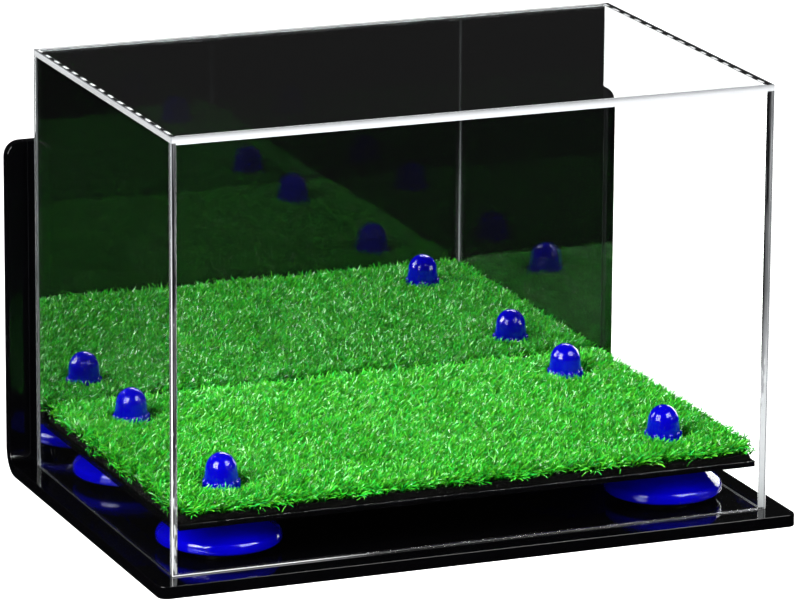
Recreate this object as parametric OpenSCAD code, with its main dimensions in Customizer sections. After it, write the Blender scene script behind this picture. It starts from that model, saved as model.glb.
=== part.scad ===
// Display case for one full-size football: a clear five-sided cover with a mirrored back,
// standing on a black sheet that is bent up at the rear into a wall plate, over a raised
// turf platform carried on four riser discs.
// Millimetres. +X right, +Y to the wall, +Z up. Origin: middle of the footprint, on the table.

/* [Cover] */
// Outside width of the clear cover
cover_w = 317.5; // [260:0.5:420]
// Outside depth of the clear cover
cover_d = 203.2; // [170:0.1:320]
// Outside height of the clear cover
cover_h = 219.2; // [120:0.1:320]
// Thickness of the front, side and top sheets
wall_t = 3.2; // [2:0.1:6]
// Thickness of the mirrored back sheet
mirror_t = 3.2; // [2:0.1:6]

/* [Base and wall plate] */
// Thickness of the black base sheet, before and after it is bent
sheet_t = 6.35; // [4:0.05:10]
// Strip of base that shows on each side of the cover
side_margin = 11.2; // [4:0.1:30]
// Strip of base that shows in front of the cover
front_margin = 14; // [6:0.5:40]
// Gap between the mirrored back and the wall plate
rear_gap = 10; // [6:0.5:25]
// Height of the wall plate above the top of the base
plate_h = 169; // [130:0.5:260]
// Corner radius at the front of the base
base_corner_r = 5; // [1:0.5:12]
// Corner radius at the top of the wall plate
plate_corner_r = 8; // [1:0.5:20]
// Outside radius of the bend between base and wall plate
bend_r = 13; // [11:0.5:16]

/* [Wall screws] */
// Radius of the four clearance holes in the wall plate
wall_hole_r = 2.75; // [1.5:0.05:4]
// Distance of the holes from the ends of the plate
wall_hole_inset = 43; // [15:0.5:80]
// Distance of the upper holes from the top of the plate
wall_hole_drop = 25; // [12:0.5:45]
// Height of the lower holes above the table
wall_hole_rise = 60; // [30:0.5:80]

/* [Turf platform] */
// Thickness of the platform sheet
platform_t = 3; // [2:0.1:6]
// Clearance between the platform and the walls around it
platform_gap = 1.5; // [0.5:0.1:5]
// Thickness of the backing of the turf
backing_t = 3; // [1:0.1:5]
// Height of the grass above its backing
pile_h = 7.5; // [4:0.1:12]
// Setback of the turf from the edge of the platform
turf_inset = 1.8; // [0.5:0.1:5]
// Space in the grass around each dome nut
pile_clear = 0.4; // [0.3:0.1:2]

/* [Risers] */
// Radius of the riser discs
riser_r = 30; // [20:0.5:33]
// Height of the riser discs
riser_h = 17.8; // [12:0.1:30]
// Radius of the flat crown that carries the platform
riser_top_r = 9; // [6:0.5:14]
// Height of the disc's upright side
riser_rim_h = 2.8; // [2:0.1:4]
// Radius of the shoulder above the side
riser_shoulder_r = 4.2; // [3:0.1:6]
// Rounding under the rim of a disc
riser_edge_r = 1; // [0.3:0.1:1.2]
// Distance of each riser's axis from the two nearest platform edges
riser_inset = 35; // [34:0.5:45]

/* [Feet] */
// Radius of the rubber feet
foot_r = 13; // [10:0.5:18]
// Height of the rubber feet
foot_h = 4; // [3.5:0.1:8]
// Rubber left between a screw head and the riser
foot_web_t = 1; // [0.5:0.1:1.2]
// Room around a screw head inside its foot
foot_head_gap = 0.8; // [0.3:0.1:2]

/* [Screws and dome nuts] */
// Radius of the riser screws
screw_r = 2.5; // [1.5:0.1:3]
// Radius of the screw heads
screw_head_r = 4.6; // [4:0.1:7]
// Height of the screw heads
screw_head_h = 2.2; // [1.5:0.1:2.4]
// Size across the corners of the hexagon socket in each head
socket_corners = 3.4; // [2:0.1:4]
// Depth of that socket
socket_depth = 1.3; // [0.5:0.1:1.4]
// Radial clearance of the holes that the screws pass through
screw_gap = 0.4; // [0.1:0.1:1]
// Radial clearance between a screw and the bore of its nut
thread_gap = 0.05; // [0.02:0.01:0.08]
// Length of screw inside its dome nut
thread_len = 9; // [5:0.5:12]
// Space left above the end of the screw
bore_end_gap = 1; // [0.5:0.1:3]
// Radius of the dome nut's body
nut_r = 8.1; // [7:0.1:9.5]
// Radius of the nut's skirt
nut_skirt_r = 8.9; // [7:0.1:10]
// Height of the dome nut
nut_h = 20.5; // [16:0.1:28]
// Height of the rounded top of the nut
nut_crown_h = 9; // [6:0.1:10]
// Number of finger lobes around the skirt
lobe_count = 12; // [3:1:12]
// Radius of one finger lobe
lobe_r = 1.5; // [1:0.1:2.1]
// How far a lobe stands out past the skirt
lobe_out = 1.4; // [0.6:0.1:1.6]
// Height of the finger lobes
lobe_h = 4.6; // [2.5:0.1:8]
// Bevel around the top of a lobe
lobe_bevel = 0.9; // [0.2:0.1:0.9]

/* [Hidden] */
$fn = 96;
eps = 0.02;          // overlap of a cut past the face it opens
arc_steps = 14;      // straight runs in an arc of a turned profile
dome_lead = 4.5;     // degrees that a disc's dome is steeper where it leaves the shoulder

// Footprint
base_w = cover_w + 2 * side_margin;
base_d = front_margin + cover_d + rear_gap + sheet_t;
front_y = -base_d / 2;
rear_y = base_d / 2;
plate_y = rear_y - sheet_t;
plate_top = sheet_t + plate_h;

// Cover
cover_y = front_y + front_margin;
cover_back = cover_y + cover_d;
panel_h = cover_h - wall_t;
inner_w = cover_w - 2 * wall_t;
inner_y = cover_y + wall_t;
inner_d = cover_d - wall_t - mirror_t;

// Turf platform
platform_w = inner_w - 2 * platform_gap;
platform_d = inner_d - 2 * platform_gap;
platform_y = inner_y + platform_gap;
turf_w = platform_w - 2 * turf_inset;
turf_d = platform_d - 2 * turf_inset;
turf_y = platform_y + turf_inset;

// Levels, from the table up
riser_z = sheet_t + foot_h;
platform_z = riser_z + riser_h;
backing_z = platform_z + platform_t;
pile_z = backing_z + backing_t;
head_top_z = riser_z - foot_web_t;
screw_len = pile_z + thread_len - head_top_z;

// Riser axes
riser_x = platform_w / 2 - riser_inset;
riser_front_y = platform_y + riser_inset;
riser_back_y = platform_y + platform_d - riser_inset;
RISER_AT = [[-riser_x, riser_front_y], [riser_x, riser_front_y],
            [-riser_x, riser_back_y], [riser_x, riser_back_y]];
// Each nut stops at its own angle when it is tightened
NUT_TURN = [19, 6, 18, 27];

pass_r = screw_r + screw_gap;
lobe_ring_r = nut_skirt_r + lobe_out - lobe_r;
nut_reach_r = max(nut_skirt_r, lobe_ring_r + lobe_r);

// ---------------------------------------------------------------- base and wall plate

// Side view of the bent sheet: base, quarter-ring bend, upright plate (x is depth, y is up)
module bent_sheet_profile() {
    square([base_d - bend_r, sheet_t]);
    translate([base_d - sheet_t, bend_r]) square([sheet_t, plate_top - bend_r]);
    translate([base_d - bend_r, bend_r]) intersection() {
        difference() {
            circle(bend_r);
            circle(bend_r - sheet_t);
        }
        translate([0, -bend_r]) square(bend_r);
    }
}

// What is cut away to round one outside corner of radius r, the corner at [0, 0]
module corner_waste(r) {
    difference() {
        translate([-1, -1]) square(r + 1);
        translate([r, r]) circle(r);
    }
}

module base_wall_mount() {
    color([0.02, 0.02, 0.02]) difference() {
        translate([-base_w / 2, front_y, 0]) rotate([90, 0, 90])
            linear_extrude(base_w) bent_sheet_profile();
        for (side = [0, 1]) mirror([side, 0, 0]) {
            translate([-base_w / 2, front_y, -1])
                linear_extrude(sheet_t + 2) corner_waste(base_corner_r);
            translate([-base_w / 2, rear_y + 1, plate_top]) rotate([90, 0, 0])
                linear_extrude(sheet_t + 2) mirror([0, 1]) corner_waste(plate_corner_r);
            for (z = [wall_hole_rise, plate_top - wall_hole_drop])
                translate([base_w / 2 - wall_hole_inset, rear_y + 1, z]) rotate([90, 0, 0])
                    cylinder(r = wall_hole_r, h = sheet_t + 2);
        }
    }
}

// ---------------------------------------------------------------- clear cover

module clear_sheet(size) {
    color([0.85, 0.92, 0.95, 0.3]) cube(size);
}

module cover_front_panel() {
    translate([-cover_w / 2, cover_y, sheet_t]) clear_sheet([cover_w, wall_t, panel_h]);
}

module cover_side_panel() {
    translate([inner_w / 2, inner_y, sheet_t]) clear_sheet([wall_t, cover_d - wall_t, panel_h]);
}

module cover_left_panel() {
    mirror([1, 0, 0]) cover_side_panel();
}

module cover_right_panel() {
    cover_side_panel();
}

module cover_top_panel() {
    translate([-cover_w / 2, cover_y, sheet_t + panel_h]) clear_sheet([cover_w, cover_d, wall_t]);
}

module cover_mirror_panel() {
    color([0.55, 0.58, 0.6]) translate([-inner_w / 2, cover_back - mirror_t, sheet_t])
        cube([inner_w, mirror_t, panel_h]);
}

// ---------------------------------------------------------------- turf platform

// The four holes that the riser fasteners pass through
module riser_holes(r, h) {
    for (at = RISER_AT) translate([at[0], at[1], -eps]) cylinder(r = r, h = h + 2 * eps);
}

// A flat layer with its front edge at y and its holes at the risers
module layer(w, d, y, z, t, hole_r) {
    translate([0, 0, z]) difference() {
        translate([-w / 2, y, 0]) cube([w, d, t]);
        riser_holes(hole_r, t);
    }
}

module turf_platform() {
    color([0.02, 0.02, 0.02]) layer(platform_w, platform_d, platform_y, platform_z, platform_t, pass_r);
}

module turf_backing() {
    color([0.05, 0.05, 0.05]) layer(turf_w, turf_d, turf_y, backing_z, backing_t, pass_r);
}

module turf_pile() {
    color([0.15, 0.6, 0.15]) layer(turf_w, turf_d, turf_y, pile_z, pile_h, nut_reach_r + pile_clear);
}

// ---------------------------------------------------------------- risers and fasteners

// Points of an ellipse arc in a turned profile; angle 0 points away from the axis
function arc(centre, rx, ry, from, to) =
    [for (i = [0:arc_steps]) let (a = from + (to - from) * i / arc_steps)
        centre + [rx * cos(a), ry * sin(a)]];

// All points of a line but its first
function rest(line) = [for (i = [1:len(line) - 1]) line[i]];

// Button-shaped disc: upright side with a rounded lower edge, a tight shoulder, and a shallow
// dome that leaves the shoulder smoothly and meets the edge of the flat crown
module riser_disc() {
    shoulder_end = atan2(riser_r - riser_top_r, riser_h - riser_rim_h) - dome_lead;
    outward = [cos(shoulder_end), sin(shoulder_end)];
    shoulder_at = [riser_r - riser_shoulder_r, riser_rim_h];
    dome_start = shoulder_at + riser_shoulder_r * outward;
    run = [riser_top_r, riser_h] - dome_start;
    dome_r = -(run * run) / (2 * (run * outward));
    dome_at = dome_start - dome_r * outward;
    dome_end = atan2(riser_h - dome_at[1], riser_top_r - dome_at[0]);
    edge_at = [riser_r - riser_edge_r, riser_edge_r];
    profile = concat([[0, 0]], arc(edge_at, riser_edge_r, riser_edge_r, -90, 0),
                     arc(shoulder_at, riser_shoulder_r, riser_shoulder_r, 0, shoulder_end),
                     rest(arc(dome_at, dome_r, dome_r, shoulder_end, dome_end)),
                     [[0, riser_h]]);
    color([0.04, 0, 0.75]) difference() {
        translate([0, 0, riser_z]) rotate_extrude() polygon(profile);
        translate([0, 0, riser_z - eps]) cylinder(r = pass_r, h = riser_h + 2 * eps);
    }
}

// Rubber foot with a pocket below for the screw head and a web above it
module riser_foot() {
    color([0.06, 0.06, 0.06]) translate([0, 0, sheet_t]) difference() {
        cylinder(r = foot_r, h = foot_h);
        translate([0, 0, -eps])
            cylinder(r = screw_head_r + foot_head_gap, h = foot_h - foot_web_t + eps);
        cylinder(r = pass_r, h = foot_h + eps);
    }
}

// Screw that stands head-down in its foot and reaches up into the dome nut
module riser_screw() {
    color([0.7, 0.7, 0.72]) translate([0, 0, head_top_z]) difference() {
        union() {
            translate([0, 0, -screw_head_h]) cylinder(r = screw_head_r, h = screw_head_h);
            cylinder(r = screw_r, h = screw_len);
        }
        translate([0, 0, -screw_head_h - eps])
            cylinder(r = socket_corners / 2, h = socket_depth + eps, $fn = 6);
    }
}

// Bell-shaped dome nut with finger lobes around its skirt and a blind bore below
module dome_nut(turn) {
    straight_h = nut_h - nut_crown_h;
    profile = concat([[0, 0], [nut_skirt_r, 0]],
                     arc([0, straight_h], nut_r, nut_crown_h, 0, 90));
    color([0.04, 0, 0.75]) translate([0, 0, pile_z]) difference() {
        union() {
            rotate_extrude() polygon(profile);
            for (i = [0:lobe_count - 1]) rotate([0, 0, turn + i * 360 / lobe_count])
                translate([lobe_ring_r, 0, 0]) {
                    cylinder(r = lobe_r, h = lobe_h - lobe_bevel);
                    translate([0, 0, lobe_h - lobe_bevel])
                        cylinder(r1 = lobe_r, r2 = lobe_r - lobe_bevel, h = lobe_bevel);
                }
        }
        translate([0, 0, -eps])
            cylinder(r = screw_r + thread_gap, h = thread_len + bore_end_gap + eps);
    }
}

module at_riser(i) {
    translate([RISER_AT[i][0], RISER_AT[i][1], 0]) children();
}

// ---------------------------------------------------------------- nodes

base_wall_mount();
cover_front_panel();
cover_left_panel();
cover_right_panel();
cover_top_panel();
cover_mirror_panel();
turf_platform();
turf_backing();
turf_pile();
at_riser(0) riser_foot();  // riser_foot_front_left
at_riser(1) riser_foot();  // riser_foot_front_right
at_riser(2) riser_foot();  // riser_foot_back_left
at_riser(3) riser_foot();  // riser_foot_back_right
at_riser(0) riser_disc();  // riser_disc_front_left
at_riser(1) riser_disc();  // riser_disc_front_right
at_riser(2) riser_disc();  // riser_disc_back_left
at_riser(3) riser_disc();  // riser_disc_back_right
at_riser(0) riser_screw();  // riser_screw_front_left
at_riser(1) riser_screw();  // riser_screw_front_right
at_riser(2) riser_screw();  // riser_screw_back_left
at_riser(3) riser_screw();  // riser_screw_back_right
at_riser(0) dome_nut(NUT_TURN[0]);  // dome_nut_front_left
at_riser(1) dome_nut(NUT_TURN[1]);  // dome_nut_front_right
at_riser(2) dome_nut(NUT_TURN[2]);  // dome_nut_back_left
at_riser(3) dome_nut(NUT_TURN[3]);  // dome_nut_back_right
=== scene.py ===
# %% [markdown]
# # A football display case, dressed for the studio
#
# The case is a clear acrylic cover with a mirror at its back. It stands on a sheet of black
# acrylic whose rear is bent up into a wall plate. Inside, a bed of synthetic turf lies on a
# black platform, carried by four blue riser discs, each held by a screw and a dome nut.
#
# The construction model gives the sizes and places, and is loaded first as a fixed frame. Each
# piece is modelled around it, in metres, at its real place.

import math

import bmesh
import bpy
import numpy as np
from mathutils import Matrix, Vector


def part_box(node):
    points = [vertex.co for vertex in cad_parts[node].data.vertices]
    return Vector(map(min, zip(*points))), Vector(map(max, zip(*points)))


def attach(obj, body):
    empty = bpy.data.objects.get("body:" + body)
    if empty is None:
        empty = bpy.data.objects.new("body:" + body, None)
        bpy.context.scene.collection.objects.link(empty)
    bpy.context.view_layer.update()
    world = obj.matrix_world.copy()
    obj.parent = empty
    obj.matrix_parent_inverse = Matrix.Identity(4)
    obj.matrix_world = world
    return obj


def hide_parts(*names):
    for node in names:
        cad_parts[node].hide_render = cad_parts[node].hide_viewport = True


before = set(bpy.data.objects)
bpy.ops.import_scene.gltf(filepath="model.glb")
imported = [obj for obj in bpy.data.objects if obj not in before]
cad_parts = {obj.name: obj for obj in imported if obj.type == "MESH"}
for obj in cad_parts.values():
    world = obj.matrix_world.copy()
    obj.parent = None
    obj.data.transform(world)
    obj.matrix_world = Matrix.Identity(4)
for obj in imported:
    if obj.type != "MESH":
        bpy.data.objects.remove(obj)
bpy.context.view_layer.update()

# %% [markdown]
# ## Working like a hand at the mouse
#
# An operator works on whatever is selected, so every helper starts from a clean selection and
# selects what it needs by place. Modifiers are applied at once, so each piece ends as a plain
# mesh with its place in its points.

# %% Selecting
MM = 0.001
NEAR = 0.01 * MM


def deselect():
    """Object mode, nothing selected."""
    if bpy.context.mode != "OBJECT":
        bpy.ops.object.mode_set(mode="OBJECT")
    bpy.ops.object.select_all(action="DESELECT")


def pick(obj):
    """Only this object selected and active."""
    deselect()
    obj.select_set(True)
    bpy.context.view_layer.objects.active = obj


def edit(obj, kind="FACE"):
    """Edit mode with nothing selected."""
    pick(obj)
    bpy.ops.object.mode_set(mode="EDIT")
    bpy.ops.mesh.select_mode(type=kind)
    bpy.ops.mesh.select_all(action="DESELECT")


def select_where(obj, kind, test):
    """In edit mode, selects the points, edges or faces that pass the test. It is given the
    middle of each, and a face's normal too."""
    mesh = bmesh.from_edit_mesh(obj.data)
    bpy.ops.mesh.select_mode(type=kind)
    bpy.ops.mesh.select_all(action="DESELECT")
    if kind == "VERT":
        chosen = [v for v in mesh.verts if test(v.co)]
    elif kind == "EDGE":
        chosen = [e for e in mesh.edges if test((e.verts[0].co + e.verts[1].co) / 2)]
    else:
        chosen = [f for f in mesh.faces if test(f.calc_center_median(), f.normal)]
    for part in chosen:
        part.select_set(True)
    bmesh.update_edit_mesh(obj.data)


def select_all():
    """In edit mode, everything selected."""
    bpy.ops.mesh.select_all(action="SELECT")


def leave():
    """Back to object mode."""
    bpy.ops.object.mode_set(mode="OBJECT")


# %% Blocks, modifiers and holes
def apply_place(obj):
    """The object goes to the origin and its place into its mesh."""
    pick(obj)
    bpy.ops.object.transform_apply(location=True, rotation=True, scale=True)
    return obj


def block(name, low, high):
    """A box between two corners, to be shaped further."""
    deselect()
    bpy.ops.mesh.primitive_cube_add(size=1, location=[(a + b) / 2 for a, b in zip(low, high)])
    obj = bpy.context.active_object
    obj.name = obj.data.name = name
    obj.scale = [b - a for a, b in zip(low, high)]
    return apply_place(obj)


def modify(obj, kind, **settings):
    """Adds a modifier and applies it."""
    pick(obj)
    modifier = obj.modifiers.new(kind.title(), kind)
    for key, value in settings.items():
        setattr(modifier, key, value)
    bpy.ops.object.modifier_apply(modifier=modifier.name)


BIT_LENGTH = 60 * MM


def drill(obj, centre, radius, axis, steps=48):
    """A round hole right through, along a row axis."""
    deselect()
    turn = {"Y": (math.pi / 2, 0, 0), "Z": (0, 0, 0)}[axis]
    bpy.ops.mesh.primitive_cylinder_add(vertices=steps, radius=radius, depth=BIT_LENGTH,
                                        location=centre, rotation=turn)
    bit = apply_place(bpy.context.active_object)
    modify(obj, "BOOLEAN", operation="DIFFERENCE", object=bit, solver="EXACT")
    bpy.data.objects.remove(bit)


def heal(obj):
    """Doubles merged and faces turned outwards."""
    edit(obj)
    select_all()
    bpy.ops.mesh.remove_doubles(threshold=0.5 * NEAR)
    bpy.ops.mesh.normals_make_consistent(inside=False)
    leave()


def smooth(obj, degrees=35):
    """Smooth shading, except over edges sharper than this."""
    pick(obj)
    bpy.ops.object.shade_smooth_by_angle(angle=math.radians(degrees))


def ease(obj, width, steps=2):
    """A small round along every sharp edge. Hardened normals keep the large faces flat, so
    that a polished sheet reflects like a sheet."""
    smooth(obj)
    modify(obj, "BEVEL", width=width, segments=steps, limit_method="ANGLE",
           angle_limit=math.radians(40), harden_normals=True)


# %% Turning and naming
def turned(name, profile, steps):
    """A solid of revolution: one point is extruded along the profile (radius, height) and the
    line is spun once round the upright axis."""
    deselect()
    bpy.ops.mesh.primitive_plane_add(size=MM)
    obj = bpy.context.active_object
    obj.name = obj.data.name = name
    edit(obj, "VERT")
    select_all()
    bpy.ops.mesh.merge(type="CENTER")
    radius, height = profile[0]
    bpy.ops.transform.translate(value=(radius, 0, height))
    for start, end in zip(profile, profile[1:]):
        step = (end[0] - start[0], 0, end[1] - start[1])
        bpy.ops.mesh.extrude_vertices_move(TRANSFORM_OT_translate={"value": step})
    select_all()
    bpy.ops.mesh.spin(steps=steps, angle=2 * math.pi, center=(0, 0, 0), axis=(0, 0, 1))
    leave()
    heal(obj)
    return obj


def arc(centre, radius, start, end, steps, height=None):
    """Points of an arc in a profile, angles in degrees. A height makes it an ellipse."""
    turns = [math.radians(start + (end - start) * i / steps) for i in range(steps + 1)]
    return [(centre[0] + radius * math.cos(a), centre[1] + (height or radius) * math.sin(a))
            for a in turns]


def paint(obj, *materials):
    """These materials and no others."""
    obj.data.materials.clear()
    for material in materials:
        obj.data.materials.append(material)


def piece(obj, body, slot, material, *nodes):
    """Finishes a piece: its material, the body it rides on and what it stands for. The slot is
    not used.
    """
    if material:
        paint(obj, material)
    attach(obj, body)
    if nodes:
        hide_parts(*nodes)
    print(f"  {obj.name}: {len(obj.data.polygons)} faces on {body}")


# %% [markdown]
# ## Mixing finishes
#
# Colours are written as the sRGB hex values that a screen shows, and one function turns them
# into the linear light that the renderer adds up. Patterns are laid on object coordinates,
# which here are the real place in metres, so a grain of one millimetre is 1000 to the unit.

# %% Colours and nodes
def linear(hex_colour):
    """An sRGB hex colour as linear RGBA."""
    parts = [int(hex_colour[i:i + 2], 16) / 255 for i in (1, 3, 5)]
    return [c / 12.92 if c <= 0.04045 else ((c + 0.055) / 1.055) ** 2.4 for c in parts] + [1.0]


def finish_named(name, **settings):
    """A new material with settings on its shader: an input's name has _ for each space."""
    material = bpy.data.materials.new(name)
    material.use_nodes = True
    shader = material.node_tree.nodes["Principled BSDF"]
    for key, value in settings.items():
        shader.inputs[key.replace("_", " ")].default_value = value
    return material, material.node_tree, shader


def put(tree, kind, inputs=(), out=None, **settings):
    """Adds a shader node with its settings, and gives one of its outputs: the first, unless
    another is named. Its inputs are in order or by name, and each is a number, a hex colour
    or an output of another node."""
    node = tree.nodes.new("ShaderNode" + kind)
    for key, value in settings.items():
        setattr(node, key, value)
    for key, value in inputs.items() if isinstance(inputs, dict) else enumerate(inputs):
        if isinstance(value, bpy.types.NodeSocket):
            tree.links.new(value, node.inputs[key])
        else:
            node.inputs[key].default_value = linear(value) if isinstance(value, str) else value
    return node.outputs[out] if out else next(o for o in node.outputs if o.enabled)


def grain(tree, millimetres, detail=2.0, stretch=(1, 1, 1)):
    """Noise whose lumps are about so many millimetres across, stretched along the axes."""
    place = put(tree, "TexCoord", out="Object")
    if stretch != (1, 1, 1):
        place = put(tree, "Mapping", {"Vector": place, "Scale": [1 / s for s in stretch]})
    return put(tree, "TexNoise", {"Vector": place, "Scale": 1000 / millimetres,
                                  "Detail": detail})


def mottle(tree, shader, pattern, first, second):
    """The base colour wanders between two colours with a pattern."""
    colour = put(tree, "Mix", {"Factor": pattern, "A": first, "B": second}, data_type="RGBA")
    tree.links.new(colour, shader.inputs["Base Color"])


def emboss(tree, shader, pattern, millimetres, strength):
    """A bump of about that height."""
    bump = put(tree, "Bump", {"Strength": strength, "Distance": millimetres * MM,
                              "Height": pattern})
    tree.links.new(bump, shader.inputs["Normal"])


# %% [markdown]
# ## Base and wall plate
#
# One sheet of quarter-inch cast black acrylic, warmed along a line and folded up at the back.
# Two boxes and a corner strip would do, but a folded sheet keeps its thickness through the
# bend. So a plane is the underside, its rear edge is spun a quarter turn for the bend and drawn
# up for the plate, and a Solidify modifier gives it its thickness.

# %% Cast black acrylic
# Cast sheet, flame polished: jet black and wet looking. Handling leaves a faint bloom of dust
# and wiped patches that soften the gloss a little, and cast sheet is never perfectly flat.
BLACK, tree, shader = finish_named("polished_cast_black_acrylic", IOR=1.49,
                                   Specular_IOR_Level=0.35)
mottle(tree, shader, grain(tree, 12, 4.0), "#010101", "#020203")
wiped = put(tree, "MapRange", (grain(tree, 35, 3.0), 0.35, 0.7, 0.02, 0.06))
tree.links.new(wiped, shader.inputs["Roughness"])
emboss(tree, shader, grain(tree, 60, 0.0), 0.05, 0.15)

# %% Fold the sheet
base_low, base_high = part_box("base_wall_mount")
SHEET_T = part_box("cover_front_panel")[0].z
SHEET_EASE = 0.5 * MM
BEND_R = 13 * MM
BASE_CORNER_R = 5 * MM
PLATE_CORNER_R = 8 * MM
HOLE_R = 2.75 * MM
HOLE_INSET = 43 * MM
HOLE_LEVELS = (60 * MM, base_high.z - 25 * MM)

deselect()
bend_start = base_high.y - BEND_R
bpy.ops.mesh.primitive_plane_add(size=1, location=(0, (base_low.y + bend_start) / 2, 0))
sheet = bpy.context.active_object
sheet.name = sheet.data.name = "base_wall_plate_sheet"
sheet.scale = (base_high.x - base_low.x, bend_start - base_low.y, 1)
apply_place(sheet)

edit(sheet, "EDGE")
select_where(sheet, "EDGE", lambda p: p.y > bend_start - NEAR)
bpy.ops.mesh.spin(steps=12, angle=-math.pi / 2, center=(0, bend_start, BEND_R), axis=(1, 0, 0))
select_where(sheet, "EDGE", lambda p: p.y > base_high.y - NEAR)
bpy.ops.mesh.extrude_region_move(TRANSFORM_OT_translate={"value": (0, 0, base_high.z - BEND_R)})
select_where(sheet, "VERT", lambda p: p.y < base_low.y + NEAR)
bpy.ops.mesh.bevel(offset=BASE_CORNER_R, segments=8, affect="VERTICES")
select_where(sheet, "VERT", lambda p: p.z > base_high.z - NEAR)
bpy.ops.mesh.bevel(offset=PLATE_CORNER_R, segments=8, affect="VERTICES")
leave()
heal(sheet)
under = min(sheet.data.polygons, key=lambda f: f.center.z)
if under.normal.z > 0:
    edit(sheet)
    select_all()
    bpy.ops.mesh.flip_normals()
    leave()
modify(sheet, "SOLIDIFY", thickness=SHEET_T, offset=-1, use_even_offset=True)
print("folded sheet reaches", [round(v, 4) for v in sheet.dimensions])

# %% Drill and polish it
for x in (base_low.x + HOLE_INSET, base_high.x - HOLE_INSET):
    for z in HOLE_LEVELS:
        drill(sheet, (x, base_high.y, z), HOLE_R, "Y")
heal(sheet)
ease(sheet, SHEET_EASE, 3)
piece(sheet, "base", "black_acrylic", BLACK, "base_wall_mount")

# %% [markdown]
# ## Clear cover
#
# Sheets of clear acrylic, solvent welded at their edges: the top laps over all the walls, and
# the front covers the ends of the sides. The faces melt into one another, so the walls are one
# shell: a box without its bottom and rear, given a wall thickness. A cut edge glows, because it
# lets out the light that runs along inside its sheet. So the shell's outside is cut along the
# joints, and the strips that are the ends of a sheet get a finish of their own: milky as a cut
# edge is, with that glow painted into its colour, and painted shade on the rims in shade.

# %% Places on the cover
cover_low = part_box("cover_front_panel")[0]
top_low, cover_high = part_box("cover_top_panel")
mirror_low, mirror_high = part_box("cover_mirror_panel")
WALL_T = cover_high.z - top_low.z
LAP_Z = cover_high.z - WALL_T
LAP_Y = cover_low.y + WALL_T
INNER_X = cover_high.x - WALL_T
print("sheets are", round(WALL_T / MM, 2), "mm thick")

# %% Clear acrylic and its cut edges
# Cast clear sheet is water clear, index 1.49, polished on both faces.
CLEAR, tree, shader = finish_named("clear_cast_acrylic", IOR=1.49, Roughness=0.0,
                                   Transmission_Weight=1.0)
mottle(tree, shader, grain(tree, 60), "#FFFFFF", "#FCFFFE")


def cut_edge(name, transmission, first, second, stretch=(1, 1, 1)):
    """Sawn and polished acrylic edge: milky, with fine lines of the cutter along it. The
    brightness of its two colours is painted glow, dimmed to painted shade on a rim in shade.
    """
    material, tree, shader = finish_named(name, IOR=1.49, Roughness=0.12,
                                          Transmission_Weight=transmission)
    lines = grain(tree, 1.2, 3.0, stretch)
    mottle(tree, shader, lines, first, second)
    emboss(tree, shader, lines, 0.05, 0.3)
    return material


# The short ends of the top sheet are flame polished, so they are glassy; their grey is
# painted glow.
EDGE_SIDE = cut_edge("flame_polished_acrylic_edge", 0.4, "#828485", "#A0A1A1", (60, 60, 0.5))
# The rim that stands on the base, painted white as glow.
EDGE_RIM = cut_edge("sawn_acrylic_edge", 0.6, "#DDE2E4", "#FFFFFF")
# The ends of the front sheet, left as sawn between two glossy faces; their grey is painted glow.
EDGE_END = cut_edge("sawn_acrylic_end", 0.8, "#707275", "#8A8D8E")
# The rims in the shade of the wall plate are painted dim: painted shade.
EDGE_DIM = cut_edge("sawn_acrylic_edge_in_shade", 0.9, "#3A3E3F", "#5E6163")


def graded_edge(name, axis, start, end, transmission, colours):
    """Cut edge whose milkiness and colour change along a row axis, between two places: a painted
    glow graded along the edge.
    """
    material, tree, shader = finish_named(name, IOR=1.49, Roughness=0.15)
    along = put(tree, "SeparateXYZ", (put(tree, "TexCoord", out="Object"),), out=axis)
    share = put(tree, "MapRange", (along, start, end))
    clearness = put(tree, "MapRange", (share, 0.0, 1.0, *transmission))
    tree.links.new(clearness, shader.inputs["Transmission Weight"])
    mottle(tree, shader, share, *colours)
    return material


# The foot of the front sheet has a painted glow: opaque white at its left end, fading out to
# clear towards the right.
EDGE_FOOT = graded_edge("acrylic_foot_painted_glow", "X", -85 * MM, -50 * MM, (0.0, 0.9),
                        ("#D8D8D8", "#DBDCDD"))
# Painted glow: the long upright corners carry light up from the foot, so they are whitest there.
EDGE_CORNER = graded_edge("acrylic_corner_painted_glow", "Z", 190 * MM, 40 * MM, (0.3, 0.0),
                          ("#727577", "#CFCFCF"))
# Painted glow: the long ends of the top sheet gather the most light, white where the front sheet
# feeds them from below, and greyer towards the polished face.
EDGE_TOP = graded_edge("acrylic_top_edge_painted_glow", "Z", cover_high.z, cover_high.z - 0.65 * WALL_T,
                       (0.1, 0.1), ("#68696B", "#9A9C9E"))
# The rim round the top face and the side walls' lower edge were only broken with paper.
EDGE_BROKEN = cut_edge("papered_acrylic_edge", 0.4, "#5D5F62", "#7D7F81")

# %% Shell of the cover
ROUND = 0.4 * MM
FOOT_Z = cover_low.z + 0.7 * MM


def on_outside(p, n):
    """Whether a face lies on the cover's outside."""
    return (abs(p.x) > cover_high.x - NEAR or p.y < cover_low.y + NEAR
            or p.z > cover_high.z - NEAR)


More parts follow.
